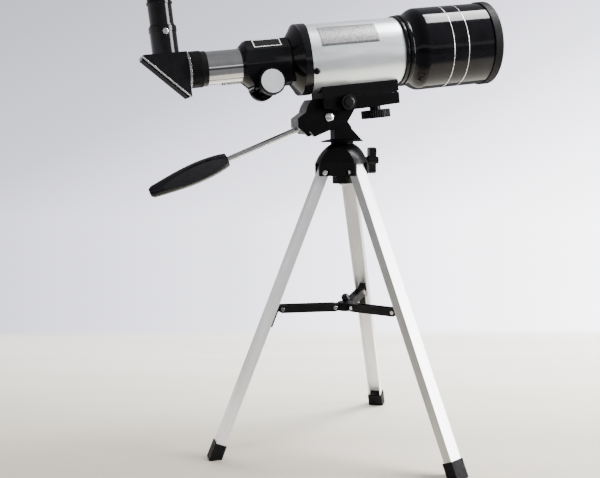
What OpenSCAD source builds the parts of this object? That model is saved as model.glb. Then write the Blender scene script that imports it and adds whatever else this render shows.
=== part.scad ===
// Small achromatic refractor telescope on a folding table tripod.
// Origin: on the floor, on the pan axis. +Z is up, the telescope points along +X.
// The optical parts are drawn in the tube frame: s along the optical axis, h across it, upwards.

/* [Optical tube] */
// Outer radius of the main tube
tube_r = 38; // [36:0.5:40]
// Visible length of the main tube
tube_len = 109; // [100:1:120]
// Outer radius of the dew shield
shield_r = 46.5; // [45:0.5:48]
// Distance from the rear of the main tube to the front of the dew shield
shield_end = 215; // [205:1:225]
// Upward tilt of the telescope as it stands
tube_pitch = 4.6; // [0:0.1:8]
// Rear end of the main tube, forward of the pan axis
tube_x = -44; // [-50:1:-38]
// Height of the optical axis at the rear end of the main tube
tube_z = 450; // [445:1:455]

/* [Focuser] */
// Turn of the focuser about the optical axis
focuser_roll = 6.4; // [0:0.1:10]
// Outer radius of the sliding drawtube
draw_r = 18.1; // [17.5:0.1:18.4]
// Tooth module of the focusing rack and pinion
gear_module = 0.8; // [0.7:0.1:0.9]
// Number of pinion teeth
pinion_teeth = 12; // [12:1:13]
// Radius of the two focusing knobs
knob_r = 14.6; // [12:0.2:15]

/* [Diagonal and eyepiece] */
// Turn of the diagonal about the optical axis
diagonal_roll = 1.9; // [0:0.1:5]
// Radius of the eyepiece barrel and of the diagonal's nose
barrel_r = 12.25; // [12.2:0.01:12.25]

/* [Tripod head] */
// Slope of the pan handle below the horizontal
handle_slope = 20.8; // [15:0.1:25]
// Distance from the tilt pivot to the far end of the grip
handle_reach = 216; // [200:1:230]
// Radius of the pan base disc
disc_r = 24; // [22:0.5:25]

/* [Tripod] */
// Turn of the tripod about the pan axis
tripod_turn = -4; // [-10:1:10]
// Radius of the circle through the feet
foot_circle_r = 161; // [155:1:166]
// Height of the leg hinges above the floor
hinge_z = 323.5; // [320:0.5:328]
// Distance of the leg hinges from the pan axis
hinge_r = 23.4; // [23:0.1:24]
// Width of a leg channel
leg_w = 16; // [15:0.5:16]
// Depth of a leg channel
leg_d = 11; // [10.5:0.5:11]
// Height of the leg pivots of the spreader arms
arm_z = 169; // [165:1:172]

/* [Hidden] */
$fn = 72;
eps = 0.02;

// tube frame
tube_wall = 1.2;
tube_in = tube_r - tube_wall;
slip = 0.08;
// rear and front ends of the tube inside the flange and the shield
tube_s0 = -6;
tube_s1 = tube_len + 8;

// focuser
draw_in = 16.9;
draw_s0 = -118;
draw_s1 = -6;
body_s0 = -73.5;
cover_h = -25;
pinion_s = -45.9;
knob_face = 27.6;
knob_t = 9;
press_angle = 25;
gear_slack = 0.05;
pitch_r = gear_module * pinion_teeth / 2;
tooth_pitch = PI * gear_module;
addendum = 0.7;
dedendum = 0.95;
rack_pitch_h = -19.2;
pinion_h = rack_pitch_h - pitch_r;
rack_s0 = -97.5;
rack_teeth = 34;

// diagonal
nose_s0 = -130;
diag_s1 = -132;
diag_s0 = -180;
diag_top = 19;
diag_w = 28;
diag_wall = 2;
fold_s = -152.5;
holder_top = 48;
holder_r = 14.4;
eyepiece_end = 84;

// shoe and head
shoe_s0 = 12;
shoe_s1 = 103.4;
shoe_h = -45;
pad_h = -46.4;
skirt_h = -60.5;
shoe_w = 40;
pivot = [19.6, -65.9];
screw_s = 80.7;
lock_at = [40.9, -52];
cheek_in = 8.1;
cheek_out = 14;
cheek_r = 28;
tongue_r = 14;
pivot_r = 3;
rod_r = 3.1;
grip_s0 = 124;
pivot_w = [tube_x + pivot[0] * cos(tube_pitch) - pivot[1] * sin(tube_pitch),
           tube_z + pivot[0] * sin(tube_pitch) + pivot[1] * cos(tube_pitch)];

// pan base and crown
disc_z = 357.5;
crown_top = 354.6;
crown_r = 31.6;
crown_z0 = 319.5;
crown_flat = 24.1;
sleeve_z = 310;
sleeve_r = 12;
spindle_r = 6;
wing_z = 335;
slot_r0 = 13.3;
slot_top = 333.8;

// legs and spreader
leg_wall = 1.2;
leg_angle = atan((foot_circle_r - hinge_r) / hinge_z);
leg_len = hinge_z / cos(leg_angle);
leg_az = [180 + tripod_turn, -60 + tripod_turn, 60 + tripod_turn];
pin_r = 2;
arm_r = 76;
hub_r = 14;
hub_z = 166.5;
arm_len = norm([arm_r - hub_r, arm_z - hub_z]);
arm_angle = atan((arm_z - hub_z) / (arm_r - hub_r));
arm_half = 5.2;
arm_wall = 1;
arm_h = 4.6;
rivet_r = 1.5;
// the arm pivot in the leg's own frame: across the leg, and down it
arm_x = (arm_r - hinge_r) * cos(leg_angle) - (hinge_z - arm_z) * sin(leg_angle);
arm_u = (arm_r - hinge_r) * sin(leg_angle) + (hinge_z - arm_z) * cos(leg_angle);

// ---------- frames and shared shapes ----------

module scope() {
    translate([tube_x, 0, tube_z]) rotate([0, -tube_pitch, 0]) children();
}

module focuser() {
    scope() rotate([-focuser_roll, 0, 0]) children();
}

module diagonal() {
    scope() rotate([-diagonal_roll, 0, 0]) children();
}

// the handle's frame: x runs out along the handle from the tilt pivot
module handle() {
    translate([pivot_w[0], 0, pivot_w[1]]) rotate([0, 180 - handle_slope, 0]) children();
}

module along_s(s0, s1, r) {
    translate([s0, 0, 0]) rotate([0, 90, 0]) cylinder(h = s1 - s0, r = r);
}

module along_y(y0, y1, r) {
    translate([0, y1, 0]) rotate([90, 0, 0]) cylinder(h = y1 - y0, r = r);
}

module along_h(h0, h1, r) {
    translate([0, 0, h0]) cylinder(h = h1 - h0, r = r);
}

module pipe_s(s0, s1, ro, ri) {
    difference() {
        along_s(s0, s1, ro);
        along_s(s0 - 1, s1 + 1, ri);
    }
}

module pipe_h(h0, h1, ro, ri) {
    difference() {
        along_h(h0, h1, ro);
        along_h(h0 - 1, h1 + 1, ri);
    }
}

// a turned part about the s axis, its half section given as [radius, s]
module turned(section) {
    rotate([0, 90, 0]) rotate_extrude() polygon(section);
}

// an outline in the s-h plane, drawn between two y values
module slab(y0, y1) {
    translate([0, y1, 0]) rotate([90, 0, 0]) linear_extrude(y1 - y0) children();
}

module box(x0, x1, y0, y1, z0, z1) {
    translate([x0, y0, z0]) cube([x1 - x0, y1 - y0, z1 - z0]);
}

// a disc with evenly spaced grip ribs round its rim, along +Z
module ribbed_disc(r, h, ribs, depth) {
    step = 360 / ribs;
    linear_extrude(h) polygon([for (i = [0 : ribs - 1]) each [
        (r - depth) * [cos(step * i), sin(step * i)],
        r * [cos(step * (i + 0.25)), sin(step * (i + 0.25))],
        r * [cos(step * (i + 0.6)), sin(step * (i + 0.6))],
        (r - depth) * [cos(step * (i + 0.85)), sin(step * (i + 0.85))]]]);
}

// a domed screw head along +Z
module screw_head(r, h) {
    rotate_extrude() polygon(concat([[0, -eps]],
        [for (i = [0 : 5]) [r * cos(80 * i / 5), h * sin(80 * i / 5)]], [[0, h]]));
}

// the cross of a screw head, cut downwards from z = 0
module cross_recess(size, depth) {
    for (a = [0, 90]) rotate([0, 0, a])
        translate([-size / 2, -size / 9, -depth]) cube([size, size * 2 / 9, depth + 1]);
}

function smooth_step(t) = (1 - cos(180 * t)) / 2;
function arc_sag(r, big_r) = big_r - sqrt(big_r * big_r - r * r);
// a shallow dished curve from the axis to radius r, bulging by sign * sagitta
function dish(r, big_r, s, sign) = [for (i = [0 : 8]) [r * i / 8, s - sign * arc_sag(r * i / 8, big_r)]];
function reversed(list) = [for (i = [len(list) - 1 : -1 : 0]) list[i]];

// ---------- optical tube ----------

screw_az = [113.7, 246.3];

module tube_screw_at(az) {
    rotate([az, 0, 0]) translate([3.5, 0, 0]) children();
}

module main_tube() {
    color("silver") scope() difference() {
        pipe_s(tube_s0, tube_s1, tube_r, tube_in);
        for (az = screw_az) tube_screw_at(az) along_h(tube_in - 2, tube_r + 2, 1.6);
        for (s = [30, 62]) translate([s, 0, 0]) along_h(-tube_r - 2, -tube_in + 2, 1.6);
    }
}

// a thin plate that follows the tube on the side away from +Y
module tube_label() {
    color("gainsboro") scope() translate([12, 0, 0]) rotate([0, 90, 0])
        rotate_extrude(angle = 40, start = -146) translate([tube_r + eps, 0]) square([0.35, 67]);
}

module tube_screws() {
    color("black") scope() {
        for (az = screw_az) tube_screw_at(az) {
            along_h(tube_r - 3.4, tube_r + 0.3, 1.5);
            difference() {
                translate([0, 0, tube_r + 0.3]) screw_head(3.8, 2.2);
                translate([0, 0, tube_r + 2.5]) cross_recess(3.6, 1.1);
            }
        }
        for (s = [30, 62]) translate([s, 0, 0]) {
            along_h(-tube_r - 5, -tube_in, 1.5);
            along_h(-tube_in + 0.4, -tube_in + 2.2, 2.8);
        }
    }
}

flare_s0 = tube_len + 11;
flare_s1 = tube_len + 27;
function flare(i) = smooth_step(i / 10);
shield_wall = 1.8;

module dew_shield() {
    outside = concat(
        [[tube_r + 1.4, tube_len], [tube_r + 1.8, tube_len + 0.5], [tube_r + 1.8, tube_len + 3.4],
         [tube_r + 0.9, tube_len + 4], [tube_r + 0.9, tube_len + 5], [tube_r + 2.3, tube_len + 5.6],
         [tube_r + 2.3, tube_len + 9.4], [tube_r + 1.9, tube_len + 10]],
        [for (i = [0 : 10]) [tube_r + 2 + (shield_r - tube_r - 2) * flare(i),
            flare_s0 + (flare_s1 - flare_s0) * i / 10]],
        [[shield_r, shield_end]]);
    inside = concat(
        [[shield_r - shield_wall, shield_end]],
        [for (i = [10 : -1 : 0]) [tube_r + slip + (shield_r - shield_wall - tube_r - slip) * flare(i),
            flare_s0 + 1.2 + (flare_s1 - flare_s0) * i / 10]],
        [[tube_r + slip, tube_len]]);
    color("black") scope() turned(concat(outside, inside));
}

module front_ring() {
    color("dimgray") scope() turned([
        [43.2, 205], [shield_r - shield_wall - eps, 205], [shield_r - shield_wall - eps, shield_end + 0.2],
        [shield_r + 0.6, shield_end + 0.2], [shield_r + 1.3, shield_end + 0.9],
        [shield_r + 1.3, shield_end + 10.2], [shield_r + 0.6, shield_end + 11], [44, shield_end + 11],
        [43.2, shield_end + 10.2]]);
}

cell_s0 = tube_s1 + 0.2;
lens_r = 36;

module objective_cell() {
    color("black") scope() turned([
        [tube_r - 0.1, cell_s0], [tube_r - 0.1, cell_s0 + 12.4], [lens_r - 0.2, cell_s0 + 12.4],
        [lens_r - 1, cell_s0 + 11.6], [lens_r - 1, cell_s0 + 10.6], [lens_r + 0.1, cell_s0 + 10.6],
        [lens_r + 0.1, cell_s0 + 1.4],
        [lens_r - 1.5, cell_s0 + 1.4], [lens_r - 1.5, cell_s0]]);
}

module crown_lens() {
    front = dish(lens_r, 190, cell_s0 + 13.7, 1);
    back = dish(lens_r, 175, cell_s0 + 5.2, -1);
    color("lightcyan") scope() turned(concat(back, reversed(front)));
}

module flint_lens() {
    front = dish(lens_r, 175, cell_s0 + 4.8, -1);
    back = [[0, cell_s0 + 1.5], [lens_r, cell_s0 + 1.5]];
    color("lightcyan") scope() turned(concat(back, reversed(front)));
}

module lens_spacer() {
    outer = cell_s0 + arc_sag(lens_r, 175);
    inner = cell_s0 + arc_sag(lens_r - 1.2, 175);
    color("silver") scope() turned([[lens_r, outer + 4.85], [lens_r, outer + 5.14],
        [lens_r - 1.2, inner + 5.14], [lens_r - 1.2, inner + 4.85]]);
}

// ---------- focuser ----------

function inv(a) = tan(a) * 180 / PI - a;
base_r = pitch_r * cos(press_angle);
tip_r = pitch_r + addendum;
root_r = pitch_r - dedendum;
slack_angle = gear_slack / pitch_r * 180 / PI;
function half_tooth(r) = 90 / pinion_teeth + inv(press_angle) - inv(acos(min(1, base_r / r))) - slack_angle;
flank_r = concat([root_r], [for (i = [0 : 5]) base_r + (tip_r - base_r) * i / 5]);
function polar(r, a) = [r * cos(a), r * sin(a)];
pinion_outline = [for (i = [0 : pinion_teeth - 1]) let (c = 90 + 360 / pinion_teeth * i)
    each concat([for (r = flank_r) polar(r, c - half_tooth(r))],
                [for (r = reversed(flank_r)) polar(r, c + half_tooth(r))])];

rack_back = -16.4;
function rack_tooth(c) =
    let (w = tooth_pitch / 4 - gear_slack, d = tan(press_angle))
    [[c - w - dedendum * d, rack_pitch_h + dedendum], [c - w + addendum * d, rack_pitch_h - addendum],
     [c + w - addendum * d, rack_pitch_h - addendum], [c + w + dedendum * d, rack_pitch_h + dedendum]];
rack_first = pinion_s + tooth_pitch * (0.5 + ceil((rack_s0 + 1.5 - pinion_s) / tooth_pitch - 0.5));
rack_last = rack_first + tooth_pitch * (rack_teeth - 1);
rack_outline = concat([[rack_s0, rack_pitch_h + dedendum]],
    [for (i = [0 : rack_teeth - 1]) each rack_tooth(rack_first + tooth_pitch * i)],
    [[rack_last + 1.5, rack_pitch_h + dedendum], [rack_last + 1.5, rack_back], [rack_s0, rack_back]]);

body_half = 22;
body_section = [[10, 24.6], [body_half, 12], [body_half, -3], [15.5, cover_h],
    [-15.5, cover_h], [-body_half, -3], [-body_half, 12], [-10, 24.6]];

module focuser_section(s0, s1) {
    translate([s0, 0, 0]) rotate([90, 0, 90]) linear_extrude(s1 - s0) polygon(body_section);
}

// the rear of the body tapers to a round mouth
module focuser_barrel() {
    intersection() {
        focuser_section(body_s0, -16);
        turned([[0, body_s0], [19.4, body_s0], [26.2, body_s0 + 7.4], [34, -60], [34, -16], [0, -16]]);
    }
    focuser_section(-58, -16);
}

module focuser_body() {
    color("black") focuser() difference() {
        union() {
            focuser_barrel();
            turned([[0, -18], [26.4, -18], [38.6, -8.8], [38.6, tube_s0], [0, tube_s0]]);
            pipe_s(tube_s0 - eps, 10, tube_in - slip, tube_in - 2.4);
            // rim over the tube, bowed forwards above and below
            intersection() {
                pipe_s(-8.8, 7.2, tube_r + 1.5, tube_r + slip);
                translate([2.6 - 205, 0, -60]) cylinder(h = 120, r = 205, $fn = 180);
            }
        }
        along_s(body_s0 - 1, 12, draw_r + 0.07);
        turned([[0, -15.5], [24.5, -15.5], [34.2, -7.6], [34.2, 11], [0, 11]]);
        // keyway for the rack and pocket for the pinion
        box(body_s0 - 1, -14, -3.3, 3.3, -21, -14);
        box(pinion_s - 6.2, pinion_s + 6.2, -4.3, 4.3, cover_h - 1, -17);
        translate([pinion_s, 0, pinion_h]) {
            along_y(-30, 30, 2.06);
            // room for the inner faces of the two knobs
            along_y(18.2, 30, knob_r + 0.9);
            along_y(-30, -18.2, knob_r + 0.9);
        }
        for (s = [-60, -31]) for (y = [-9.5, 9.5]) translate([s, y, 0]) along_h(cover_h - 1, cover_h + 5, 1.1);
        rotate([focuser_roll, 0, 0])
            for (az = screw_az) tube_screw_at(az) {
                along_h(tube_in - 4, tube_in + 0.5, 1.55);
                along_h(tube_r, tube_r + 5, 4.05);
            }
    }
}

// a raised plate on the sloping upper side of the body, with a rim round it
module nameplate() {
    slope = atan2(24.6 - 12, body_half - 10);
    color("white") focuser() translate([-59.5, -10, 24.6]) rotate([slope, 0, 0])
        translate([0, -14.2, eps]) {
            difference() {
                cube([31.5, 13, 0.6]);
                translate([1.1, 1.1, 0.3]) cube([29.3, 10.8, 1]);
            }
        }
}

module pinion_cover() {
    color("black") focuser() difference() {
        union() {
            box(-64, -27, -13.5, 13.5, cover_h - 2.6, cover_h - eps);
            box(pinion_s - 8, pinion_s + 8, -9, 9, cover_h - 6.2, cover_h - 2);
        }
        box(pinion_s - 6.2, pinion_s + 6.2, -4.3, 4.3, cover_h - 5, cover_h + 1);
        translate([pinion_s, 0, pinion_h]) along_y(-30, 30, 2.06);
        for (s = [-60, -31]) for (y = [-9.5, 9.5]) translate([s, y, 0]) along_h(cover_h - 8, cover_h + 1, 1.3);
    }
}

module cover_screws() {
    color("silver") focuser() for (s = [-60, -31]) for (y = [-9.5, 9.5]) translate([s, y, 0]) {
        along_h(cover_h - 2.7, cover_h + 4.5, 1.05);
        translate([0, 0, cover_h - 2.62]) rotate([180, 0, 0]) difference() {
            screw_head(2.3, 1.5);
            translate([0, 0, 1.5]) cross_recess(2.4, 0.7);
        }
    }
}

module drawtube() {
    color("gainsboro") focuser() difference() {
        pipe_s(draw_s0, draw_s1, draw_r, draw_in);
        box(rack_s0 - 0.1, rack_last + 1.6, -2.6, 2.6, -20, rack_back);
    }
}

module focus_rack() {
    color("gray") focuser() slab(-2.5, 2.5) polygon(rack_outline);
}

collar_s0 = -129;

module drawtube_collar() {
    color("black") focuser() difference() {
        union() {
            translate([collar_s0, 0, 0]) rotate([0, 90, 0]) ribbed_disc(19.7, 12, 60, 0.5);
            along_s(collar_s0 + 12, -111.4, 18.9);
        }
        along_s(collar_s0 - 1, -110, barrel_r + 0.06);
        pipe_s(draw_s0 - eps, -110, draw_r + eps, draw_in - eps);
    }
}

module pinion() {
    color("goldenrod") focuser() translate([pinion_s, 0, pinion_h]) {
        slab(-3.6, 3.6) polygon(pinion_outline);
        along_y(-25.5, 25.5, 2);
    }
}

module focus_knobs() {
    color("black") focuser() translate([pinion_s, 0, pinion_h]) for (side = [-1, 1])
        rotate([side * 90, 0, 0]) difference() {
            union() {
                difference() {
                    translate([0, 0, knob_face - knob_t]) cylinder(h = knob_t - 1.2, r = knob_r);
                    translate([0, 0, knob_face - knob_t - 1]) cylinder(h = knob_t - 1.4, r = knob_r - 1.8);
                }
                for (a = [45, 135]) rotate([0, 0, a])
                    box(-knob_r + 1, knob_r - 1, -0.6, 0.6, knob_face - knob_t + 2, knob_face - 2);
                translate([0, 0, knob_face - 1.2]) cylinder(h = 1.2, r1 = knob_r, r2 = knob_r - 0.8);
                translate([0, 0, 18.5]) cylinder(h = knob_face - 19.9, r = 4.6);
            }
            translate([0, 0, 10]) cylinder(h = 15.6, r = 2 + eps);
            translate([0, 0, knob_face - 0.9]) cylinder(h = 2, r = 12.9);
        }
}

module knob_discs() {
    color("silver") focuser() translate([pinion_s, 0, pinion_h]) for (side = [-1, 1])
        rotate([side * 90, 0, 0]) translate([0, 0, knob_face - 0.88]) cylinder(h = 0.9, r = 12.8);
}

// ---------- diagonal and eyepiece ----------

module diagonal_nose() {
    color("gainsboro") diagonal() {
        pipe_s(nose_s0 - 2.2, -108, barrel_r, 10.8);
        difference() {
            translate([nose_s0 - 1.9, 0, 0]) rotate([0, 90, 0]) ribbed_disc(19.3, 2.5, 72, 0.4);
            along_s(nose_s0 - 4, nose_s0 + 2, barrel_r - eps);
        }
    }
}

// triangle of the diagonal, set in by a wall thickness
module diagonal_side(inset) {
    side = diag_s1 - diag_s0;
    polygon([[diag_s1 - inset, diag_top - inset], [diag_s0 + 2.4 * inset, diag_top - inset],
             [diag_s1 - inset, diag_top - side + 2.4 * inset]]);
}

plate_mid = [(diag_s0 + diag_s1) / 2, diag_top - (diag_s1 - diag_s0) / 2];

// frame on the sloping back of the diagonal: x down the slope, z outwards
module diagonal_back() {
    translate([plate_mid[0], 0, plate_mid[1]]) rotate([0, 225, 0]) children();
}

module diagonal_body() {
    color("black") diagonal() difference() {
        intersection() {
            slab(-diag_w / 2, diag_w / 2) diagonal_side(0);
            box(diag_s0 + 1.5, diag_s1, -20, 20, -40, diag_top);
        }
        slab(-diag_w / 2 + diag_wall, diag_w / 2 - diag_wall) intersection() {
            diagonal_side(0);
            translate([diag_s0, -40]) square([diag_s1 - diag_s0 - diag_wall, 40 + diag_top - diag_wall]);
        }
        along_s(diag_s1 - 4, diag_s1 + 2, barrel_r + eps);
        translate([fold_s, 0, 0]) along_h(diag_top - 4, diag_top + 2, 12.4);
    }
}

module prism() {
    color("lightcyan") diagonal() slab(-11.8, 11.8)
        polygon([[diag_s1 - 3, diag_top - 3], [diag_s1 - 39, diag_top - 3], [diag_s1 - 3, diag_top - 39]]);
}

plate_half = (diag_s1 - diag_s0) * sqrt(2) / 2;

module prism_plate() {
    color("silver") diagonal() diagonal_back()
        box(-plate_half + 1, plate_half - 1.5, -diag_w / 2, diag_w / 2, eps, 1.6);
}

module diagonal_cover() {
    color("black") diagonal() diagonal_back()
        box(-plate_half + 1.8, plate_half - 3, -diag_w / 2 + 3.5, diag_w / 2 - 3.5, 1.62, 3.4);
}

module eyepiece_holder() {
    color("black") diagonal() translate([fold_s, 0, 0]) difference() {
        union() {
            along_h(diag_top + eps, holder_top, holder_r);
            along_h(holder_top - 6, holder_top - 0.3, holder_r + 0.5);
            along_h(diag_top - 2, diag_top + 2, 12.3);
        }
        along_h(diag_top - 4, holder_top + 2, barrel_r + 0.06);
        translate([0, 0, 41]) along_y(-20, 0, 1.56);
    }
}

module set_screw() {
    color("gainsboro") diagonal() translate([fold_s, 0, 41]) {
        along_y(-19, -barrel_r - 0.1, 1.5);
        along_y(-19.4, -15.6, 3.2);
        along_y(-20.2, -19.4, 2.5);
    }
}

eye_flange = holder_top + 0.3;

module eyepiece_barrel() {
    color("silver") diagonal() translate([fold_s, 0, 0]) pipe_h(26, eye_flange, barrel_r, 11.2);
}

module eyepiece_body() {
    color("black") diagonal() translate([fold_s, 0, 0]) difference() {
        union() {
            along_h(eye_flange, 71, 12.8);
            along_h(eye_flange, eye_flange + 1.4, 13.4);
            along_h(71, 73.5, 13.8);
            along_h(73.5, 77, 12.6);
        }
        along_h(40, 75, 10.6);
        along_h(70, 80, 6.5);
    }
}

module eyepiece_lenses() {
    color("lightcyan") diagonal() translate([fold_s, 0, 0]) {
        along_h(50, 53.5, 10.5);
        along_h(75.2, 76.6, 6.4);
    }
}

module eyecup() {
    color("black") diagonal() translate([fold_s, 0, 0]) rotate_extrude() polygon([
        [6.6, 77.02], [12.4, 77.02], [13, 78], [13, 82.6], [12.2, eyepiece_end], [10.4, eyepiece_end],
        [7, 79.4]]);
}

// ---------- shoe, platform and tilt head ----------

module tube_shoe() {
    color("black") scope() difference() {
        box(shoe_s0, shoe_s1, -shoe_w / 2, shoe_w / 2, shoe_h, -30);
        along_s(shoe_s0 - 1, shoe_s1 + 1, tube_r + 0.03);
        translate([screw_s, 0, 0]) along_h(shoe_h - 1, -39.2, 3.2);
        for (s = [30, 62]) translate([s, 0, 0]) along_h(shoe_h + 1, -37, 1.55);
    }
}

module platform_pad() {
    color("saddlebrown") scope() difference() {
        box(shoe_s0 + 2, shoe_s1 - 1, -18.5, 18.5, pad_h + eps, shoe_h - eps);
        translate([screw_s, 0, 0]) along_h(pad_h - 1, shoe_h + 1, 3.6);
    }
}

// the handle's frame in the s-h plane, from the tilt pivot
module handle_plane() {
    translate(pivot) rotate(180 + handle_slope - tube_pitch) children();
}

module cheek_outline() {
    difference() {
        union() {
            translate(pivot) circle(r = cheek_r);
            polygon([[pivot[0], pivot[1]], [39.2, -75.5], [50.5, -60.4], [52, -48], [6, -48]]);
            handle_plane() polygon([[0, 0], [0, 14], [-16, 14.6], [-16, 0]]);
        }
        // flat underside, parallel to the handle
        handle_plane() translate([-60, 14]) square([120, 40]);
        // nothing above the platform, nor in front of its rear end
        translate([shoe_s0 - 0.4, -47.5]) square([120, 60]);
        translate([-60, -44.8]) square([140, 60]);
        translate([39.2, -75.5]) rotate(53) translate([-30, -40]) square([80, 40]);
    }
}

module handle_boss_outline() {
    handle_plane() polygon([[20.5, 6], [27, 6], [32.8, 7.5], [38.3, -3], [35, -12.2], [24, -15], [19, -12]]);
}

module tilt_platform() {
    color("black") scope() difference() {
        union() {
            box(shoe_s0, shoe_s1, -shoe_w / 2, shoe_w / 2, -49.4, pad_h);
            slab(-shoe_w / 2, shoe_w / 2) difference() {
                polygon([[shoe_s0, pad_h], [shoe_s0, -56], [30, skirt_h], [60, skirt_h],
                         [shoe_s1, -59], [shoe_s1, pad_h]]);
                translate([shoe_s0 + 2.6, -80]) square([shoe_s1 - shoe_s0 - 5.2, 31]);
            }
            for (y = [-shoe_w / 2, shoe_w / 2 - 2.6]) slab(y, y + 2.6)
                polygon([[shoe_s0, pad_h], [shoe_s0, -56], [30, skirt_h], [60, skirt_h],
                         [shoe_s1, -59], [shoe_s1, pad_h]]);
            slab(-cheek_out, -cheek_in) cheek_outline();
            slab(cheek_in, cheek_out) cheek_outline();
            slab(-cheek_out, cheek_out) handle_boss_outline();
            slab(-cheek_out, cheek_out) intersection() {
                cheek_outline();
                difference() {
                    translate([pivot[0] - 40, -100]) square([41, 60]);
                    translate(pivot) circle(r = 17);
                    handle_plane() translate([-60, 3]) square([120, 60]);
                }
            }
            translate([screw_s, 0, 0]) along_h(-56, -49, 8);
        }
        translate([screw_s, 0, 0]) along_h(-70, -40, 3.4);
        translate([pivot[0], 0, pivot[1]]) along_y(-30, 30, pivot_r + eps);
        translate([lock_at[0], 0, lock_at[1]]) along_y(-30, 30, 2.06);
        translate([lock_at[0], 0, lock_at[1]]) along_y(cheek_out, shoe_w, 4.6);
        slab(-cheek_in, cheek_in) difference() {
            translate(pivot) circle(r = tongue_r + 1);
            translate([-40, -49.4]) square([120, 40]);
        }
        translate([pivot[0], 0, pivot[1]]) rotate([0, 180 - handle_slope + tube_pitch, 0])
            along_s(12, 45, rod_r + 0.06);
    }
}

module tilt_pivot_bolt() {
    color("gainsboro") scope() translate([pivot[0], 0, pivot[1]]) difference() {
        union() {
            along_y(-cheek_out - eps, 17.5, pivot_r);
            translate([0, -cheek_out, 0]) rotate([90, 0, 0]) screw_head(5.6, 3);
        }
        translate([0, -cheek_out - 3, 0]) rotate([90, 20, 0]) cross_recess(5.2, 1.5);
    }
}

module hex_nut(r, h, hole) {
    rotate([90, 0, 0]) difference() {
        cylinder(h = h, r = r, $fn = 6);
        translate([0, 0, -1]) cylinder(h = h + 2, r = hole);
    }
}

module head_nuts() {
    color("gainsboro") scope() {
        translate([pivot[0], cheek_out + 3.2, pivot[1]]) hex_nut(6, 3.15, pivot_r + eps);
        translate([lock_at[0], cheek_out + 2.8, lock_at[1]]) hex_nut(4.2, 2.75, 2.06);
    }
}

module tilt_lock_knob() {
    color("black") scope() translate([lock_at[0], 0, lock_at[1]]) {
        along_y(-shoe_w / 2 - 1, 16.5, 2);
        translate([0, -shoe_w / 2 - 0.3, 0]) rotate([90, 0, 0]) {
            ribbed_disc(8.8, 4.2, 24, 0.6);
            translate([0, 0, 4]) cylinder(h = 1, r = 6.2);
            translate([0, 0, 5]) cylinder(h = 0.9, r1 = 6.2, r2 = 4);
        }
    }
}

module mount_knob() {
    color("black") scope() translate([screw_s, 0, 0]) difference() {
        union() {
            translate([0, 0, -73.2]) ribbed_disc(16.8, 9.2, 40, 0.9);
            along_h(-65, -56.3, 6.4);
        }
        along_h(-69, -55, 3.1 + eps);
    }
}

module mount_screw() {
    color("gainsboro") scope() translate([screw_s, 0, 0]) along_h(-68.9, -39.7, 3.1);
}

module handle_rod() {
    color("gainsboro") handle() along_s(tongue_r + 0.5, grip_s0 + 60, rod_r);
}

grip_len = handle_reach - grip_s0;
// barrel outline of the grip: narrow neck, full middle, narrower end
function grip_r(t) = 7.6 + 4.3 * pow(sin(180 * pow(t, 0.8)), 1) - 1.0 * t;

module handle_grip() {
    color("black") handle() difference() {
        intersection() {
            turned(concat([[0, grip_s0]],
                [for (i = [0 : 16]) [grip_r(i / 16), grip_s0 + (grip_len - 3) * i / 16]],
                [[grip_r(1) - 2, handle_reach], [0, handle_reach]]));
            box(grip_s0 - 1, handle_reach + 1, -8.2, 8.2, -20, 20);
        }
        along_s(grip_s0 - 1, grip_s0 + 60, rod_r + eps);
    }
}

// ---------- pan base ----------

module pan_base() {
    color("black") difference() {
        union() {
            translate([0, 0, disc_z]) cylinder(h = 1.4, r = disc_r);
            translate([0, 0, disc_z + 1.4]) cylinder(h = 2, r1 = disc_r - 0.6, r2 = 13);
            translate([0, 0, crown_top + 0.2]) cylinder(h = disc_z - crown_top, r = 13);
            translate([0, 0, sleeve_z + 3]) cylinder(h = disc_z - sleeve_z, r = spindle_r);
            // neck and tongue
            slab(-7.8, 7.8) polygon([[-11.5, disc_z + 1], [-11.5, 371], [pivot_w[0] - 2, pivot_w[1] - 13.6],
                [pivot_w[0] + 9, pivot_w[1] + 10], [2, 384], [6.3, 377.8], [9, 374], [9, disc_z + 1]]);
            translate([pivot_w[0], 0, pivot_w[1]]) along_y(-7.8, 7.8, tongue_r);
            // front fin
            slab(-2.4, 2.4) polygon([[0, disc_z + 1], [5, 377.5], [8, 375.5], [disc_r - 0.2, disc_z + 1]]);
        }
        translate([pivot_w[0], 0, pivot_w[1]]) along_y(-20, 20, pivot_r + 0.06);
        translate([0, 0, sleeve_z]) cylinder(h = 16, r = 2.1);
    }
}

module pan_bolt() {
    color("gainsboro") {
        translate([0, 0, sleeve_z + 1.6]) cylinder(h = 12, r = 2.08);
        translate([0, 0, sleeve_z + 1.2]) cylinder(h = 1.7, r = 9.2);
        translate([0, 0, sleeve_z - 2]) cylinder(h = 3.2, r = 4.2, $fn = 6);
    }
}

module wing_frame() {
    rotate([0, 0, tripod_turn]) translate([0, 0, wing_z]) children();
}

module pan_lock_knob() {
    color("black") wing_frame() {
        along_s(spindle_r + 0.5, 34, 2.5);
        along_s(crown_flat + 0.8, 32, 4.2);
        along_s(30, 39.5, 5.4);
        along_s(39.5, 42.5, 4.2);
        rotate([8, 0, 0]) for (side = [-1, 1]) slab_yz(30.8, 39.2) polygon([[-3.6, 0], [3.6, 0],
            [5, side * 8.5], [5.2, side * 12.5], [3.6, side * 14.6], [-3.6, side * 14.6],
            [-5.2, side * 12.5], [-5, side * 8.5]]);
    }
}

// an outline in the y-z plane, drawn between two x values
module slab_yz(x0, x1) {
    translate([x0, 0, 0]) rotate([90, 0, 90]) linear_extrude(x1 - x0) children();
}

// ---------- crown and legs ----------

module at_leg(i) {
    rotate([0, 0, leg_az[i]]) children();
}

// a leg's own frame: origin at its hinge, z up along the leg, x outwards
module leg_frame(i) {
    at_leg(i) translate([hinge_r, 0, hinge_z]) rotate([0, -leg_angle, 0]) children();
}

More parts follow.
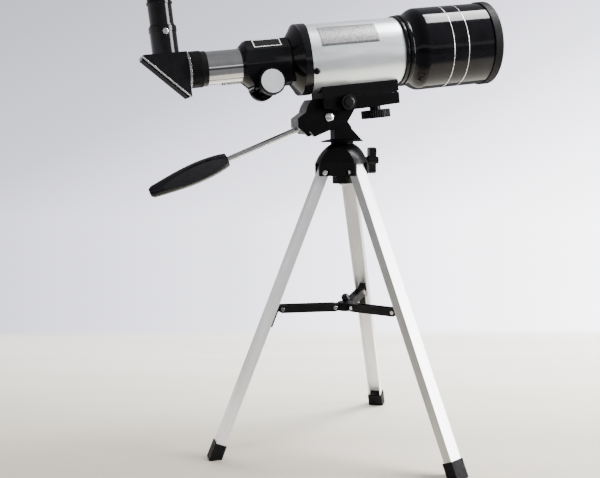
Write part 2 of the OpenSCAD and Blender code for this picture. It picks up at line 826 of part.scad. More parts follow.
dome_r = 44;
dome_rise = crown_top - slot_top + 0.8;
dome_run = crown_r - 14;
dome_chord = norm([dome_rise, dome_run]);
dome_sag = arc_sag(dome_chord / 2, dome_r);
function dome(t) = [crown_r - dome_run * t, slot_top - 0.8 + dome_rise * t]
    + 4 * t * (1 - t) * dome_sag * [dome_rise, dome_run] / dome_chord;

module crown() {
    color("black") difference() {
        union() {
            intersection() {
                rotate_extrude() polygon(concat(
                    [[0, crown_z0], [crown_r - 0.8, crown_z0], [crown_r, crown_z0 + 1]],
                    [for (i = [0 : 8]) dome(i / 8)], [[0, crown_top]]));
                intersection_for (i = [0 : 2]) at_leg(i) slab(-60, 60) polygon([[-crown_flat, 300],
                    [-crown_flat, 335], [-crown_flat + 7.4, 356], [60, 356], [60, 300]]);
            }
            translate([0, 0, sleeve_z]) cylinder(h = 20, r = sleeve_r);
        }
        for (i = [0 : 2]) at_leg(i) {
            box(slot_r0, 60, -leg_w / 2 - 0.3, leg_w / 2 + 0.3, 300, slot_top);
            translate([hinge_r, 0, hinge_z]) {
                along_y(-20, 20, pin_r + eps);
                along_y(12.4, 30, 3.7);
                along_y(-30, -12.4, 3.3);
            }
        }
        translate([0, 0, sleeve_z - 1]) cylinder(h = 60, r = spindle_r + 0.06);
        translate([0, 0, sleeve_z - 1]) cylinder(h = 3.9, r = 9.4);
        wing_frame() along_s(4, 40, 2.56);
    }
}

module hinge_pins() {
    color("gainsboro") for (i = [0 : 2]) at_leg(i) translate([hinge_r, 0, hinge_z]) {
        difference() {
            along_y(-13.8, 12.6, pin_r);
            translate([0, -14, 0]) rotate([90, 0, 0]) cylinder(h = 1.6, r = 1, center = true);
        }
        translate([0, 12.5, 0]) rotate([-90, 0, 0]) difference() {
            screw_head(3.5, 2.4);
            translate([0, 0, 2.4]) cross_recess(3.6, 1.1);
        }
    }
}

foot_u = leg_len - 19;

module leg(i) {
    color("lightgray") leg_frame(i) difference() {
        intersection() {
            difference() {
                box(-leg_d / 2, leg_d / 2, -leg_w / 2, leg_w / 2, -leg_len + 4, 8);
                box(-leg_d, leg_d / 2 - leg_wall, -leg_w / 2 + leg_wall, leg_w / 2 - leg_wall, -leg_len, 20);
            }
            union() {
                along_y(-20, 20, 9.7);
                box(-20, 20, -20, 20, -leg_len, 0);
            }
        }
        along_y(-20, 20, pin_r + 0.06);
    }
}

module foot(i) {
    wall = 1.4;
    color("black") difference() {
        leg_frame(i) difference() {
            union() {
                box(-leg_d / 2 - wall, leg_d / 2 + wall, -leg_w / 2 - wall, leg_w / 2 + wall,
                    -leg_len - 2, -foot_u);
                box(-leg_d / 2 - wall + 1.5, leg_d / 2 + wall - 1.5, -leg_w / 2 - wall + 1.5,
                    leg_w / 2 + wall - 1.5, -leg_len - 3.5, -leg_len - 1.9);
            }
            difference() {
                box(-leg_d / 2 - eps, leg_d / 2 + eps, -leg_w / 2 - eps, leg_w / 2 + eps,
                    -leg_len + 4 - eps, 0);
                box(-leg_d / 2 - 1, leg_d / 2 - leg_wall - eps, -leg_w / 2 + leg_wall + eps,
                    leg_w / 2 - leg_wall - eps, -leg_len, 20 - foot_u);
            }
        }
        box(-300, 300, -300, 300, -20, 0);
    }
}

module leg_bracket(i) {
    half = 3.8;
    color("black") leg_frame(i) difference() {
        union() {
            box(-leg_d / 2 - 2.9, -leg_d / 2 - 0.5, -half, half, -arm_u - 24, -arm_u + 3);
            box(-leg_d / 2 - 1, leg_d / 2 - leg_wall - eps, -half, half, -arm_u - 7, -arm_u + 3);
            for (side = [-1, 1]) translate([arm_x, 0, -arm_u]) {
                along_y(side > 0 ? half - 1.4 : -half, side > 0 ? half : -half + 1.4, 4.4);
                box(0, -arm_x - leg_d / 2 - 1, side > 0 ? half - 1.4 : -half, side > 0 ? half : -half + 1.4,
                    -4.4, 3);
            }
        }
        translate([arm_x, 0, -arm_u]) along_y(-20, 20, 1.6);
    }
}

module spreader_hub() {
    color("black") translate([0, 0, hub_z]) difference() {
        union() {
            translate([0, 0, -4.6]) cylinder(h = 9.6, r = 9.2);
            for (i = [0 : 2]) at_leg(i) {
                translate([hub_r, 0, 0]) along_y(-3.9, 3.9, 4.2);
                box(0, hub_r, -3.9, 3.9, -4.2, 4.2);
            }
        }
        for (i = [0 : 2]) at_leg(i) translate([hub_r, 0, 0]) along_y(-20, 20, rivet_r + eps);
        translate([0, 0, -3]) cylinder(h = 20, r = 2.52);
    }
}

module hub_knob() {
    color("black") translate([0, 0, hub_z]) {
        translate([0, 0, -2.9]) cylinder(h = 11, r = 2.5);
        translate([0, 0, 10]) sphere(r = 4.9);
    }
}

module hub_pins() {
    color("gainsboro") for (i = [0 : 2]) at_leg(i) translate([hub_r, 0, hub_z]) {
        along_y(-arm_half - 0.1, arm_half + 0.1, rivet_r);
        along_y(-arm_half - 0.9, -arm_half - 0.1, 2.3);
        along_y(arm_half + 0.1, arm_half + 0.9, 2.3);
    }
}

module spreader_arm(i) {
    color("black") at_leg(i) translate([hub_r, 0, hub_z]) rotate([0, -arm_angle, 0]) {
        difference() {
            union() {
                for (side = [-1, 1]) {
                    y0 = side > 0 ? arm_half - arm_wall : -arm_half;
                    for (x = [0, arm_len]) translate([x, 0, 0]) along_y(y0, y0 + arm_wall, arm_h);
                    box(0, arm_len, y0, y0 + arm_wall, -arm_h, arm_h);
                }
                box(9, arm_len - 22, -arm_half, arm_half, -arm_h, -arm_h + arm_wall);
            }
            along_y(-20, 20, rivet_r + 0.06);
        }
        // closed rivet at the leg end, split so that it clears the bracket
        for (y = [-arm_half - 0.8, arm_half - eps]) translate([arm_len, 0, 0])
            along_y(y, y + 0.8 + eps, 2.3);
    }
}

main_tube();
tube_label();
tube_screws();
dew_shield();
front_ring();
objective_cell();
crown_lens();
flint_lens();
lens_spacer();
focuser_body();
nameplate();
pinion_cover();
cover_screws();
drawtube();
focus_rack();
drawtube_collar();
pinion();
focus_knobs();
knob_discs();
diagonal_nose();
diagonal_body();
prism();
prism_plate();
diagonal_cover();
eyepiece_holder();
set_screw();
eyepiece_barrel();
eyepiece_body();
eyepiece_lenses();
eyecup();
tube_shoe();
platform_pad();
tilt_platform();
tilt_pivot_bolt();
head_nuts();
tilt_lock_knob();
mount_knob();
mount_screw();
handle_rod();
handle_grip();
pan_base();
pan_bolt();
pan_lock_knob();
crown();
hinge_pins();
leg(0);  // leg_1
leg(1);  // leg_2
leg(2);  // leg_3
foot(0);  // foot_1
foot(1);  // foot_2
foot(2);  // foot_3
leg_bracket(0);  // leg_bracket_1
leg_bracket(1);  // leg_bracket_2
leg_bracket(2);  // leg_bracket_3
spreader_hub();
hub_knob();
hub_pins();
spreader_arm(0);  // spreader_arm_1
spreader_arm(1);  // spreader_arm_2
spreader_arm(2);  // spreader_arm_3
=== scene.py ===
import math

import bmesh
import bpy
from mathutils import Matrix, Vector


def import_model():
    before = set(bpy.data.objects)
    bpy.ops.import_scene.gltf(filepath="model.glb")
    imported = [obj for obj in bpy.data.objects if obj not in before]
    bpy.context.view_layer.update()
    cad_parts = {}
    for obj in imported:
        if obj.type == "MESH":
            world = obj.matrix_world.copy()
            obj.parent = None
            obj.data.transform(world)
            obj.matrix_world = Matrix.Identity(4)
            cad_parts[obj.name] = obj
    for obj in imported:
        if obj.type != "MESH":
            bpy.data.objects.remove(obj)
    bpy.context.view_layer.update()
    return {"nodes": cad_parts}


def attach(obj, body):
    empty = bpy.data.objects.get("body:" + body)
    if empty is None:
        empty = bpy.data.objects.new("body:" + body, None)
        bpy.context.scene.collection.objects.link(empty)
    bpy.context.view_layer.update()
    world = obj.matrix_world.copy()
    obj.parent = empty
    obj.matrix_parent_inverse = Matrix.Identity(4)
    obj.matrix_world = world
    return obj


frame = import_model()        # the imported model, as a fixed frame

NODES = frame["nodes"]
MM = 0.001

# ---------------------------------------------------------------- the object's own frames
TUBE_PITCH = math.radians(4.6)
TUBE_ORIGIN = Vector((-44, 0, 450)) * MM
FOCUSER_ROLL = math.radians(6.4)
LEG_AZ = [math.radians(a) for a in (176, -64, 56)]
HINGE_R, HINGE_Z, FOOT_R = 23.4, 323.5, 161.0
LEG_ANGLE = math.atan((FOOT_R - HINGE_R) / HINGE_Z)


def frame_matrix(location, *turns):
    """A 4x4 from a location and turns, each (angle, axis), outermost first."""
    m = Matrix.Translation(location)
    for angle, axis in turns:
        m = m @ Matrix.Rotation(angle, 4, axis)
    return m


SCOPE = frame_matrix(TUBE_ORIGIN, (-TUBE_PITCH, "Y"))
FOCUSER = SCOPE @ Matrix.Rotation(-FOCUSER_ROLL, 4, "X")
LEG_HINGE = frame_matrix(Vector((HINGE_R, 0, HINGE_Z)) * MM, (-LEG_ANGLE, "Y"))
LEGS = [Matrix.Rotation(a, 4, "Z") @ LEG_HINGE for a in LEG_AZ]

# ---------------------------------------------------------------- shader nodes


def color_ramp(tree, fac, stops):
    """A colour ramp with (position, colour) stops; a plain number is a grey."""
    ramp = tree.nodes.new("ShaderNodeValToRGB")
    elements = ramp.color_ramp.elements
    while len(elements) < len(stops):
        elements.new(0.5)
    for element, (position, color) in zip(elements, stops):
        element.position = position
        element.color = (*color, 1) if isinstance(color, tuple) else (color, color, color, 1)
    tree.links.new(fac, ramp.inputs["Fac"])
    return ramp.outputs["Color"]


def color_product(tree, a, b):
    mix = tree.nodes.new("ShaderNodeMix")
    mix.data_type, mix.blend_type = "RGBA", "MULTIPLY"
    mix.inputs[0].default_value = 1.0
    tree.links.new(a, mix.inputs[6])
    tree.links.new(b, mix.inputs[7])
    return mix.outputs[2]


class Mat:
    """A node-based material: one Principled shader with helpers for procedural detail."""

    def __init__(self, name, color, rough, metal=0.0, frame_m=None, **sockets):
        self.m = bpy.data.materials.new(name)
        self.m.use_nodes = True
        self.t = self.m.node_tree
        self.p = self.t.nodes["Principled BSDF"]
        self.p.inputs["Base Color"].default_value = (*color, 1)
        self.p.inputs["Roughness"].default_value = rough
        self.p.inputs["Metallic"].default_value = metal
        for key, value in sockets.items():
            self.p.inputs[key.replace("_", " ")].default_value = value
        self.color = color
        self.coord = self.t.nodes.new("ShaderNodeTexCoord").outputs["Object"]
        if frame_m is not None:
            mp = self.node("ShaderNodeMapping", vector_type="TEXTURE")
            mp.inputs["Location"].default_value = frame_m.translation
            mp.inputs["Rotation"].default_value = frame_m.to_euler("XYZ")
            self.link(self.coord, mp.inputs["Vector"])
            self.coord = mp.outputs["Vector"]

    def node(self, kind, **values):
        n = self.t.nodes.new(kind)
        for key, value in values.items():
            setattr(n, key, value)
        return n

    def link(self, a, b):
        self.t.links.new(a, b)

    def noise(self, scale, detail=2.0, stretch=None, roughness=0.5):
        source = self.coord
        if stretch is not None:
            mp = self.node("ShaderNodeMapping", vector_type="POINT")
            mp.inputs["Scale"].default_value = stretch
            self.link(source, mp.inputs["Vector"])
            source = mp.outputs["Vector"]
        n = self.node("ShaderNodeTexNoise")
        n.inputs["Scale"].default_value = scale
        n.inputs["Detail"].default_value = detail
        n.inputs["Roughness"].default_value = roughness
        self.link(source, n.inputs["Vector"])
        return n.outputs["Fac"]

    def ramp(self, fac, *stops):
        return color_ramp(self.t, fac, stops)

    def axes(self):
        """The three coordinates of the material's own frame, in metres."""
        sep = self.node("ShaderNodeSeparateXYZ")
        self.link(self.coord, sep.inputs[0])
        return sep.outputs

    def times(self, a, b):
        """The product of a socket and a socket or a number."""
        n = self.node("ShaderNodeMath", operation="MULTIPLY")
        self.link(a, n.inputs[0])
        if isinstance(b, (int, float)):
            n.inputs[1].default_value = b
        else:
            self.link(b, n.inputs[1])
        return n.outputs[0]

    def vary_color(self, fac, low, high, low_at=0.3, high_at=0.7):
        dark = tuple(x * low for x in self.color)
        light = tuple(min(1, x * high) for x in self.color)
        self.link(self.ramp(fac, (low_at, dark), (high_at, light)), self.p.inputs["Base Color"])

    def vary_rough(self, fac, low, high, low_at=0.3, high_at=0.7):
        self.link(self.ramp(fac, (low_at, low), (high_at, high)), self.p.inputs["Roughness"])

    def bump(self, fac, distance, strength):
        b = self.node("ShaderNodeBump")
        b.inputs["Strength"].default_value = strength
        b.inputs["Distance"].default_value = distance
        self.link(fac, b.inputs["Height"])
        self.link(b.outputs["Normal"], self.p.inputs["Normal"])


# ---------------------------------------------------------------- materials
# colours are linear, bump distances in metres, noise scales in waves per metre


def gloss_black(name, frame_m=None, base=(0.004, 0.004, 0.005), rough=0.07, peel=0.000003, ior=1.36):
    """Thin black gloss paint with a slight orange peel."""
    m = Mat(name, base, rough, frame_m=frame_m, IOR=ior, Specular_IOR_Level=0.5)
    m.vary_rough(m.noise(160, 4), rough * 0.8, rough * 1.5)
    m.vary_color(m.noise(60, 3), 0.8, 1.3)
    m.bump(m.noise(300), peel, 0.3)
    return m.m


def satin_black(name, base=(0.0035, 0.0035, 0.004), rough=0.3, grain=0.00001, scale=1200, ior=1.26):
    """Black moulded plastic with a fine grain."""
    m = Mat(name, base, rough, IOR=ior, Specular_IOR_Level=0.5)
    m.vary_rough(m.noise(220, 4), rough * 0.9, rough * 1.15)
    m.vary_color(m.noise(90, 3), 0.8, 1.25)
    m.bump(m.noise(scale), grain, 0.4)
    return m.m


def textured_black(name, frame_m=None, rough=0.55, scale=700, depth=0.00022):
    """Crackle paint, for the front ring."""
    m = Mat(name, (0.003, 0.003, 0.0035), rough, frame_m=frame_m, IOR=1.17, Specular_IOR_Level=0.5)
    m.vary_color(m.noise(scale * 0.5, 4), 0.6, 1.8)
    m.vary_rough(m.noise(scale, 3), rough * 0.75, rough * 1.25)
    m.bump(m.noise(scale, 4, roughness=0.65), depth, 0.9)
    return m.m


def chrome(name, frame_m=None, stretch=(1, 1, 1), rough=0.07, color=(0.56, 0.56, 0.555)):
    m = Mat(name, color, rough, metal=1.0, frame_m=frame_m)
    m.vary_rough(m.noise(300, 4, stretch), rough * 0.6, rough * 1.9)
    m.vary_color(m.noise(120, 3), 0.92, 1.05)
    m.bump(m.noise(900, 2, stretch), 0.000004, 0.4)
    return m.m


def steel(name, rough=0.25, color=(0.62, 0.62, 0.63)):
    m = Mat(name, color, rough, metal=1.0)
    m.vary_rough(m.noise(500, 4), rough * 0.7, rough * 1.5)
    m.vary_color(m.noise(300, 3), 0.85, 1.08)
    m.bump(m.noise(1200), 0.00001, 0.4)
    return m.m


def aluminium(name, leg_m, tone, metal=0.93):
    """Drawn aluminium, with fine lines along the leg."""
    m = Mat(name, (tone, tone * 1.005, tone * 1.01), 0.40, metal=metal, frame_m=leg_m)
    lines = m.noise(1100, 3, (1, 1, 0.012))
    m.vary_color(lines, 0.90, 1.05)
    m.vary_rough(m.noise(160, 4, (1, 1, 0.08)), 0.28, 0.44)
    m.bump(lines, 0.000012, 0.6)
    return m.m


def silver_paint():
    """Metallic paint: fine flakes under a thin clear coat."""
    m = Mat("silver_paint", (0.66, 0.705, 0.73), 0.31, metal=0.72, frame_m=SCOPE,
            Coat_Weight=0.55, Coat_Roughness=0.18)
    m.vary_color(m.noise(5200, 1), 0.93, 1.06)
    m.vary_rough(m.noise(140, 4, (0.3, 1, 1)), 0.28, 0.38)
    m.bump(m.noise(900), 0.000006, 0.5)
    return m.m


def glass(name, tint=(0.93, 0.97, 0.99)):
    """Clear glass with a faint blue coating."""
    m = Mat(name, tint, 0.02, IOR=1.52, Transmission_Weight=1.0,
            Coat_Weight=0.3, Coat_Roughness=0.03, Coat_Tint=(0.55, 0.75, 1.0, 1))
    m.vary_rough(m.noise(120, 3), 0.01, 0.035)
    return m.m


def rubber(name):
    m = Mat(name, (0.004, 0.004, 0.0045), 0.6, IOR=1.20)
    m.vary_color(m.noise(150, 4), 0.7, 1.9)
    m.vary_rough(m.noise(260, 4), 0.45, 0.75)
    m.bump(m.noise(1800, 3), 0.00004, 0.7)
    return m.m


def knob_silver():
    m = Mat("knob_silver", (0.52, 0.54, 0.55), 0.38, metal=0.15)
    m.vary_color(m.noise(200, 4), 0.93, 1.05)
    m.vary_rough(m.noise(500, 3), 0.32, 0.46)
    m.bump(m.noise(2200), 0.000008, 0.5)
    return m.m


def label_print():
    """Grey foil sticker with a darker lower border and faint mottling, and no lettering."""
    m = Mat("label_print", (0.42, 0.42, 0.43), 0.3, metal=0.35, frame_m=SCOPE)
    # the height over the tube's axis, as a part of its radius, tells the rows apart
    tube_r = 0.038
    height = m.times(m.axes()["Z"], 1 / tube_r)
    rows = m.ramp(height, (0.27, 0.08), (0.335, 0.12), (0.35, 0.31),
                  (0.62, 0.34), (0.70, 0.27), (0.80, 0.22))
    spots = m.ramp(m.noise(650, 3), (0.42, 0.60), (0.56, 1.0))
    m.link(color_product(m.t, rows, spots), m.p.inputs["Base Color"])
    m.vary_rough(m.noise(300, 3), 0.24, 0.42)
    return m.m


def white_print():
    m = Mat("white_print", (0.62, 0.62, 0.60), 0.4)
    m.vary_color(m.noise(700, 3), 0.85, 1.05)
    m.vary_rough(m.noise(400, 3), 0.32, 0.5)
    return m.m


M = {
    "tube": silver_paint(),
    "gloss": gloss_black("gloss_black", SCOPE, ior=1.25),
    "gloss_body": gloss_black("gloss_black_body", SCOPE, rough=0.12),
    "grip": gloss_black("gloss_black_grip", None, rough=0.14, peel=0.000001, ior=1.42),
    "satin": satin_black("satin_black"),
    "satin_arm": satin_black("satin_black_arm", rough=0.38),
    "satin_head": satin_black("satin_black_head", rough=0.42, base=(0.002, 0.002, 0.0024), ior=1.12),
    "matte": satin_black("matte_black", rough=0.5, grain=0.00003, scale=1100, ior=1.11),
    # a lighter grey for the tilt head's rear-facing faces: painted sheen, not wear
    "rear_sheen": satin_black("rear_sheen_grey", rough=0.45, base=(0.12, 0.12, 0.125), grain=0.00003, ior=1.45),
    "flat_black": satin_black("flat_black", rough=0.75, base=(0.004, 0.004, 0.004), ior=1.18),
    "ring": textured_black("ring_texture", SCOPE),
    "chrome": chrome("chrome", FOCUSER, (0.06, 1, 1)),
    "chrome_rod": chrome("chrome_rod", None, rough=0.10),
    "steel": steel("steel"),
    "bright": steel("bright_rivet", rough=0.18, color=(0.80, 0.80, 0.80)),
    "plate": steel("plate_aluminium", 0.3, (0.70, 0.70, 0.70)),
    "line": steel("line_silver", 0.3, (0.80, 0.80, 0.79)),
    "brass": steel("brass", 0.28, (0.70, 0.52, 0.22)),
    "rubber": rubber("rubber"),
    "knob": knob_silver(),
    "label": label_print(),
    "white": white_print(),
    "glass": glass("glass"),
    "leg1": aluminium("aluminium_leg_1", LEGS[0], 0.95, 0.50),
    "leg2": aluminium("aluminium_leg_2", LEGS[1], 0.95),
    # a darker copy of the near leg's aluminium: painted shade for its left flank
    "leg2_side": aluminium("aluminium_leg_2_painted_shade", LEGS[1], 0.52),
    "leg3": aluminium("aluminium_leg_3", LEGS[2], 0.95, 0.50),
}

NODE_MAT = {
    # optical tube
    "main_tube": "tube", "tube_label": "label", "tube_screws": "satin", "dew_shield": "gloss",
    "front_ring": "ring", "objective_cell": "flat_black", "crown_lens": "glass", "flint_lens": "glass",
    "lens_spacer": "flat_black",
    # focuser
    "focuser_body": "gloss_body", "nameplate": "flat_black", "pinion_cover": "gloss_body",
    "cover_screws": "satin", "drawtube": "chrome", "focus_rack": "plate", "drawtube_collar": "satin",
    "pinion": "brass", "focus_knobs": "gloss_body", "knob_discs": "knob",
    # diagonal and eyepiece
    "diagonal_nose": "chrome", "diagonal_body": "gloss_body", "prism": "glass", "prism_plate": "plate",
    "diagonal_cover": "gloss_body", "eyepiece_holder": "gloss_body", "set_screw": "bright",
    "eyepiece_barrel": "chrome", "eyepiece_body": "gloss_body", "eyepiece_lenses": "glass",
    "eyecup": "rubber",
    # head
    "tube_shoe": "matte", "platform_pad": "rubber", "tilt_platform": "satin_head",
    "tilt_pivot_bolt": "bright", "head_nuts": "steel", "tilt_lock_knob": "satin", "mount_knob": "satin",
    "mount_screw": "steel", "handle_rod": "chrome_rod", "handle_grip": "grip", "pan_base": "satin_head",
    "pan_bolt": "steel", "pan_lock_knob": "satin",
    # tripod
    "crown": "satin", "hinge_pins": "bright", "spreader_hub": "satin_arm", "hub_knob": "gloss_body",
    "hub_pins": "bright",
}
for n in (1, 2, 3):
    NODE_MAT["leg_%d" % n] = "leg%d" % n
    NODE_MAT["foot_%d" % n] = "rubber"
    NODE_MAT["leg_bracket_%d" % n] = "satin_arm"
    NODE_MAT["spreader_arm_%d" % n] = "satin_arm"

for name, obj in NODES.items():
    obj.data.materials.clear()
    obj.data.materials.append(M[NODE_MAT[name]])

# ---------------------------------------------------------------- edges and shading of the CAD nodes
FINE_BEVEL_MM = 0.25
BEVEL_MM = {
    "tilt_platform": 0.8, "crown": 0.8, "handle_grip": 0.3, "focuser_body": 0.6, "focus_knobs": 0.6,
    "diagonal_body": 0.8, "diagonal_cover": 0.5, "tube_shoe": 0.8, "pan_base": 0.6, "foot_1": 0.9,
    "foot_2": 0.9, "foot_3": 0.9, "leg_1": 0.5, "leg_2": 0.5, "leg_3": 0.5, "mount_knob": 0.4,
    "pan_lock_knob": 0.8, "front_ring": 0.3, "eyepiece_holder": 0.5, "pinion_cover": 0.6,
}


def soften_edges(obj, width_mm):
    """Round the sharp edges and shade the rest smooth, by modifiers only."""
    me = obj.data
    if "custom_normal" in me.attributes:
        me.attributes.remove(me.attributes["custom_normal"])
    me.shade_smooth()
    weld = obj.modifiers.new("weld", "WELD")
    weld.merge_threshold = 1e-6
    planes = obj.modifiers.new("planes", "DECIMATE")
    planes.decimate_type = "DISSOLVE"
    planes.angle_limit = math.radians(0.3)
    planes.delimit = {"MATERIAL"}
    bevel = obj.modifiers.new("edges", "BEVEL")
    bevel.width = width_mm * MM
    bevel.segments = 2
    bevel.limit_method = "ANGLE"
    bevel.angle_limit = math.radians(28)
    bevel.use_clamp_overlap = True
    bevel.harden_normals = False
    bevel.miter_outer = "MITER_ARC"
    normals = obj.modifiers.new("normals", "WEIGHTED_NORMAL")
    normals.keep_sharp = True
    normals.weight = 80


for name, obj in NODES.items():
    soften_edges(obj, BEVEL_MM.get(name, FINE_BEVEL_MM))

# ---------------------------------------------------------------- faces with a material of their own, some of it painted sheen and shade
FACING_LIMIT = 0.55      # how closely a face's normal follows the direction asked


def paint(name, key, test, facing=None):
    """The faces whose corners all pass the test, and that face the way asked, take another material."""
    me = NODES[name].data
    me.materials.append(M[key])
    slot = len(me.materials) - 1
    for poly in me.polygons:
        if facing is not None and poly.normal.dot(facing) < FACING_LIMIT:
            continue
        if all(test(me.vertices[v].co) for v in poly.vertices):
            poly.material_index = slot


# the raised rim of the nameplate is white, its sunk centre black
PLATE_AT, PLATE_SLOPE, PLATE_RIM = Vector((-59.5, -10, 24.6)) * MM, math.atan2(12.6, 12), 0.55 * MM
PLATE_INV = (FOCUSER @ frame_matrix(PLATE_AT, (PLATE_SLOPE, "X"))).inverted()
paint("nameplate", "white", lambda co: (PLATE_INV @ co).z > PLATE_RIM)

# the rear-facing faces of the tilt head are painted a lighter grey: a painted sheen of the light from
# behind
HEAD_REAR_X = -30 * MM
paint("tilt_platform", "rear_sheen", lambda co: co.x < HEAD_REAR_X, facing=Vector((-1, 0, 0)))

# the near leg's left flank is painted darker than its front: painted shade for the light falling from
# the right
SHADED_FLANK = Vector((math.sin(LEG_AZ[1]), -math.cos(LEG_AZ[1]), 0))
paint("leg_2", "leg2_side", lambda co: True, facing=SHADED_FLANK)

# closed rivets at the leg end of each spreader arm
ARM_R, ARM_Z, ARM_SIDE, RIVET_R = 76 * MM, 169 * MM, 5.1 * MM, 2.35 * MM
for n, az in enumerate(LEG_AZ):
    inv = Matrix.Rotation(az, 4, "Z").inverted()
    paint("spreader_arm_%d" % (n + 1), "bright",
          lambda co: abs((inv @ co).y) > ARM_SIDE
          and math.hypot((inv @ co).x - ARM_R, co.z - ARM_Z) < RIVET_R)

# ---------------------------------------------------------------- extra pieces


def lathe(name, profile, frame_m, key, body, steps=192):
    """A ring turned about the local X axis from a closed (radius, s) profile in millimetres."""
    me = bpy.data.meshes.new(name)
    bm = bmesh.new()
    rings = []
    for i in range(steps):
        a = 2 * math.pi * i / steps
        corners = [Vector((s, r * math.cos(a), r * math.sin(a))) * MM for r, s in profile]
        rings.append([bm.verts.new(frame_m @ corner) for corner in corners])
    for i in range(steps):
        one, two = rings[i], rings[(i + 1) % steps]
        for j in range(len(profile)):
            k = (j + 1) % len(profile)
            bm.faces.new((one[j], one[k], two[k], two[j]))
    bmesh.ops.recalc_face_normals(bm, faces=bm.faces)
    bm.to_mesh(me)
    bm.free()
    me.shade_smooth()
    me.materials.append(M[key])
    o = bpy.data.objects.new(name, me)
    bpy.context.scene.collection.objects.link(o)
    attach(o, body)
    return o


# two fine silver lines round the dew shield
SHIELD_R, LINE_W, LINE_T, LINE_SUNK = 46.5, 0.75, 0.07, 0.4
for n, s in enumerate((164.3, 182.6)):
    rear, front = s - LINE_W / 2, s + LINE_W / 2
    inner, outer = SHIELD_R - LINE_SUNK, SHIELD_R + LINE_T
    lathe("shield_line_%d" % (n + 1), [(inner, rear), (outer, rear), (outer, front), (inner, front)],
          SCOPE, "line", "tilt")

# ---------------------------------------------------------------- camera
CAM_AT = Vector((-359.28, -997.92, 377.18)) * MM
CAM_YAW, CAM_PITCH, CAM_ROLL = math.radians(17.04), math.radians(-7.02), math.radians(-1.60)
FOCAL_OVER_WIDTH = 1.5364
SENSOR_MM = 36

forward = Vector((math.sin(CAM_YAW) * math.cos(CAM_PITCH),
                  math.cos(CAM_YAW) * math.cos(CAM_PITCH),
                  math.sin(CAM_PITCH)))
level_right = Vector((math.cos(CAM_YAW), -math.sin(CAM_YAW), 0))
level_up = level_right.cross(forward)
right = level_right * math.cos(CAM_ROLL) + level_up * math.sin(CAM_ROLL)
up = level_up * math.cos(CAM_ROLL) - level_right * math.sin(CAM_ROLL)


def camera():
    data = bpy.data.cameras.new("camera")
    data.sensor_width = SENSOR_MM
    data.lens = FOCAL_OVER_WIDTH * SENSOR_MM
    data.clip_start, data.clip_end = 0.01, 50
    cam = bpy.data.objects.new("camera", data)
    bpy.context.scene.collection.objects.link(cam)
    cam.matrix_world = Matrix((
        (right.x, up.x, -forward.x, CAM_AT.x),
        (right.y, up.y, -forward.y, CAM_AT.y),
        (right.z, up.z, -forward.z, CAM_AT.z),
        (0, 0, 0, 1)))
    bpy.context.scene.camera = cam


camera()

# ---------------------------------------------------------------- floor
SHEET_TURN = math.radians(-22.5)        # the pale sheet lies turned about Z
SHEET_BACK, SHEET_FRONT, SHEET_SIDE = 0.64, 0.34, 2.6
# the sheet thins out into the backdrop behind, and ends softly in front
BACK_FADE_FROM, BACK_FADE_TO, FRONT_FADE = 0.545, 0.625, 0.15


def floor_material():
    m = Mat("floor_pale", (0.80, 0.77, 0.70), 0.6)
    m.vary_rough(m.noise(30, 3), 0.5, 0.7)
    axes = m.axes()

    def between(low, high, socket):
        r = m.node("ShaderNodeMapRange", interpolation_type="SMOOTHSTEP")
        r.inputs["From Min"].default_value, r.inputs["From Max"].default_value = low, high
        m.link(socket, r.inputs["Value"])
        return r.outputs["Result"]

    # faint wood-like streaks, and a painted pool of light: the colour is paler towards the back and the
    # right, and darker in front as painted shade
    tone = m.ramp(between(-0.15, 0.55, axes["Y"]), (0.0, (0.52, 0.475, 0.40)),
                  (0.5, (0.77, 0.725, 0.635)), (1.0, (0.95, 0.915, 0.84)))
    streaks = m.ramp(m.noise(5.0, 4, (0.2, 2.2, 1)), (0.3, (0.90, 0.895, 0.88)), (0.7, 1.0))
    # painted light: the floor's colour is paler towards the right
    painted_light_right = m.ramp(between(-0.7, 0.9, axes["X"]), (0.0, 0.80), (1.0, 1.0))
    for other in (streaks, painted_light_right):
        tone = color_product(m.t, tone, other)
    m.link(tone, m.p.inputs["Base Color"])
    back = between(BACK_FADE_TO, BACK_FADE_FROM, axes["Y"])
    front = between(-SHEET_FRONT, -FRONT_FADE, axes["Y"])
    m.link(m.times(back, front), m.p.inputs["Alpha"])
    return m.m


def floor():
    me = bpy.data.meshes.new("floor")
    bm = bmesh.new()
    corners = ((-SHEET_SIDE, -SHEET_FRONT), (SHEET_SIDE, -SHEET_FRONT),
               (SHEET_SIDE, SHEET_BACK), (-SHEET_SIDE, SHEET_BACK))
    bm.faces.new([bm.verts.new((x, y, 0)) for x, y in corners])
    bm.to_mesh(me)
    bm.free()
    me.materials.append(floor_material())
    o = bpy.data.objects.new("floor", me)
    o.rotation_euler = (0, 0, SHEET_TURN)
    bpy.context.scene.collection.objects.link(o)


floor()

# ---------------------------------------------------------------- light


def area(name, at, aim, size, power, mirrored=True):
    """An area light; one that isn't mirrored lights matt surfaces but shows in no reflection."""
    d = bpy.data.lights.new(name, "AREA")
    d.shape = "RECTANGLE"
    d.size, d.size_y = size
    d.energy = power
    o = bpy.data.objects.new(name, d)
    o.location = at
    o.rotation_euler = (Vector(aim) - Vector(at)).to_track_quat("-Z", "Y").to_euler()
    o.visible_glossy = mirrored
    bpy.context.scene.collection.objects.link(o)


area("softbox_top", (1.17, -0.085, 1.9), (1.17, -0.084, 0.0), (1.1, 0.83), 155)
area("key_right", (1.45, -0.90, 0.80), (0.0, 0.0, 0.35), (0.8, 1.1), 70)
area("back_top", (0.3, 1.5, 1.7), (0.2, 0.3, 0.0), (2.2, 0.8), 70, mirrored=False)

# ---------------------------------------------------------------- surroundings
ACROSS_SHARE, DOWN_SHARE = 0.58, 0.42   # how the backdrop's tone follows the view's two directions


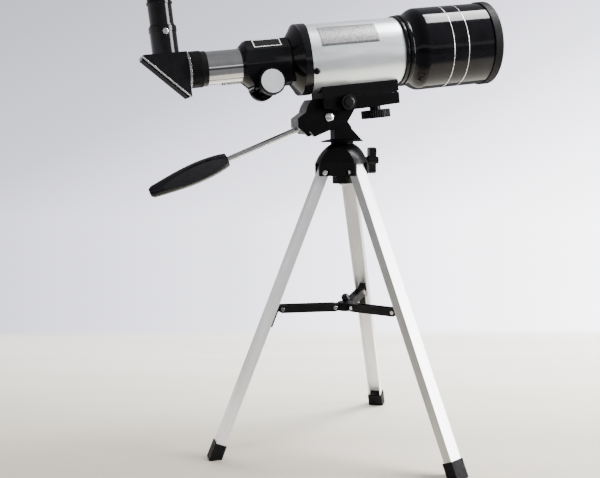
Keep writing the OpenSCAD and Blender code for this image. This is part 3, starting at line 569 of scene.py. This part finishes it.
def world():
    """What the camera sees behind the object is one thing, what lights it is another."""
    w = bpy.data.worlds.new("studio")
    bpy.context.scene.world = w
    w.use_nodes = True
    t = w.node_tree
    t.nodes.clear()
    coord = t.nodes.new("ShaderNodeTexCoord").outputs["Generated"]

    def math_node(operation, a, *numbers, clamp=False):
        n = t.nodes.new("ShaderNodeMath")
        n.operation, n.use_clamp = operation, clamp
        t.links.new(a, n.inputs[0])
        for i, number in enumerate(numbers):
            n.inputs[i + 1].default_value = number
        return n

    def along(direction, scale, offset):
        """How far a ray points in a direction, scaled and offset to run from 0 to 1."""
        dot = t.nodes.new("ShaderNodeVectorMath")
        dot.operation = "DOT_PRODUCT"
        dot.inputs[1].default_value = direction
        t.links.new(coord, dot.inputs[0])
        return math_node("MULTIPLY_ADD", dot.outputs["Value"], scale, offset, clamp=True).outputs[0]

    def background(color):
        b = t.nodes.new("ShaderNodeBackground")
        t.links.new(color, b.inputs["Color"])
        return b.outputs[0]

    # the backdrop brightens to the right and downwards
    across = along(right, 1.587, 0.5)       # 0 at the left of the view, 1 at the right
    down = along(up, -4.17, 1.08)           # 0 at the top of the view, 1 from its middle down
    both = math_node("MULTIPLY_ADD", across, ACROSS_SHARE)
    t.links.new(math_node("MULTIPLY", down, DOWN_SHARE).outputs[0], both.inputs[2])
    seen = background(color_ramp(t, both.outputs[0], (
        (0.0, (0.80, 0.81, 0.88)), (0.35, (1.28, 1.28, 1.50)),
        (0.65, (2.6, 2.6, 2.95)), (1.0, (6.0, 6.0, 6.4)))))

    depth = along((0, 1, 0), 0.5, 0.5)      # 0 towards the viewer, 1 behind the object
    tone = color_ramp(t, depth, (
        (0.1, (0.38, 0.38, 0.40)), (0.5, (0.33, 0.33, 0.35)), (0.95, (0.42, 0.42, 0.44))))
    # the room: a pale strip at eye level over a dark one, and middling below and above
    height = along((0, 0, 1), 0.5, 0.5)
    strips = color_ramp(t, height, (
        (0.335, (0.85, 0.85, 0.83)), (0.365, 0.22), (0.46, 0.22), (0.485, 3.4),
        (0.525, 3.4), (0.55, 0.72), (0.78, 1.0)))
    lit = background(color_product(t, tone, strips))

    path = t.nodes.new("ShaderNodeLightPath")
    mix = t.nodes.new("ShaderNodeMixShader")
    t.links.new(path.outputs["Is Camera Ray"], mix.inputs[0])
    t.links.new(lit, mix.inputs[1])
    t.links.new(seen, mix.inputs[2])
    t.links.new(mix.outputs[0], t.nodes.new("ShaderNodeOutputWorld").inputs["Surface"])


world()
